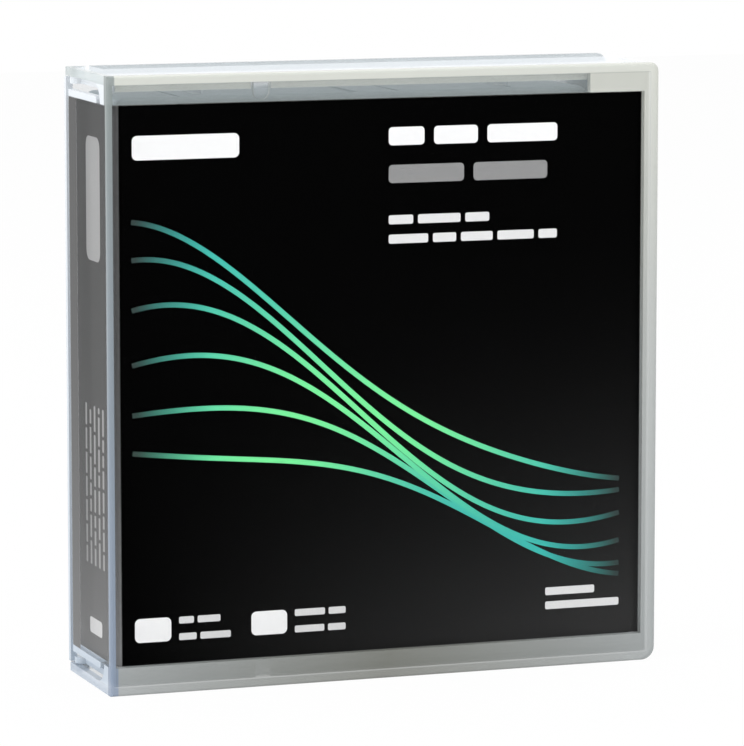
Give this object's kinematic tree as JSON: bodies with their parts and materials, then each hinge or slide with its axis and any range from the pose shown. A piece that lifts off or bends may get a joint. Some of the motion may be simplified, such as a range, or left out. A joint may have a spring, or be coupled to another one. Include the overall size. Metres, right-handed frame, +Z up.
{
  "type": "data tape cartridge in its library case",
  "caption": "Square data tape cartridge with a reel of tape, sliding tape door and reel brake, standing in a clear hinged library case with a folded insert card.",
  "frame": {"origin": "on the ground plane under the middle of the upright case's bounding box", "axes": "+X towards the case's opening side (the spine and hinge are at -X), +Y from the front pane through the thickness to the back plate, +Z up along the case's height, the cartridge's leading end up"},
  "size_m": [0.108, 0.028, 0.114],
  "materials": {
    "clear_plastic": "clear injection-moulded polypropylene, slightly milky, glossy",
    "printed_card": "printed paper card with a smooth satin coat",
    "shell_plastic": "grey-blue polycarbonate with a fine moulded grain",
    "reel_plastic": "natural white glass-filled polycarbonate",
    "flange_plastic": "clear polycarbonate",
    "tape": "wound polyester tape edge, dark brown",
    "dark_plastic": "dark acetal",
    "brake_plastic": "natural acetal",
    "slider_plastic": "red acetal",
    "steel": "bright stainless steel",
    "spring_steel": "drawn spring wire and strip",
    "board": "lacquered glass-epoxy board"
  },
  "bodies": {
    "base": {"case_base": "clear_plastic", "shell_upper": "shell_plastic", "shell_lower": "shell_plastic", "shell_screws": "steel", "memory_chip": "board", "leader_pin": "steel", "leader_pin_clip": "dark_plastic", "pin_spring": "spring_steel", "tape_leader": "tape", "door_spring": "spring_steel", "brake_spring": "spring_steel"},
    "lid": {"case_lid": "clear_plastic", "insert_card": "printed_card"},
    "door": {"tape_door": "dark_plastic"},
    "write_protect": {"write_protect_slider": "slider_plastic"},
    "reel": {"reel_hub": "reel_plastic", "reel_upper_flange": "flange_plastic", "clutch_plate": "steel", "tape_pack": "tape"},
    "brake": {"brake": "brake_plastic"},
    "release": {"brake_release": "dark_plastic"}
  },
  "joints": [
    {"name": "lid_hinge", "type": "hinge", "parent": "base", "child": "lid", "pos_m": [-0.0522, 0.01092, 0.057], "axis": [0, 0, -1], "range_deg": [0, 90]},
    {"name": "door_slide", "type": "slide", "parent": "base", "child": "door", "axis": [0, 0, -1], "range_m": [0, 0.0178], "stiffness_N_per_m": 20, "springref_m": -0.01, "deforming": ["door_spring"]},
    {"name": "write_protect_slide", "type": "slide", "parent": "base", "child": "write_protect", "axis": [1, 0, 0], "range_m": [0, 0.0035]},
    {"name": "reel_spin", "type": "hinge", "parent": "base", "child": "reel", "pos_m": [-0.0011, 0, 0.0565], "axis": [0, 1, 0], "continuous": true},
    {"name": "brake_lift", "type": "slide", "parent": "base", "child": "brake", "axis": [0, -1, 0], "range_m": [0, 0.0018], "stiffness_N_per_m": 600, "springref_m": -0.004, "deforming": ["brake_spring"]},
    {"name": "release_lift", "type": "slide", "parent": "reel", "child": "release", "axis": [0, -1, 0], "range_m": [0, 0.0018]}
  ],
  "couplings": [
    {"joint": "release_lift", "follows": "brake_lift", "ratio": 1}
  ]
}
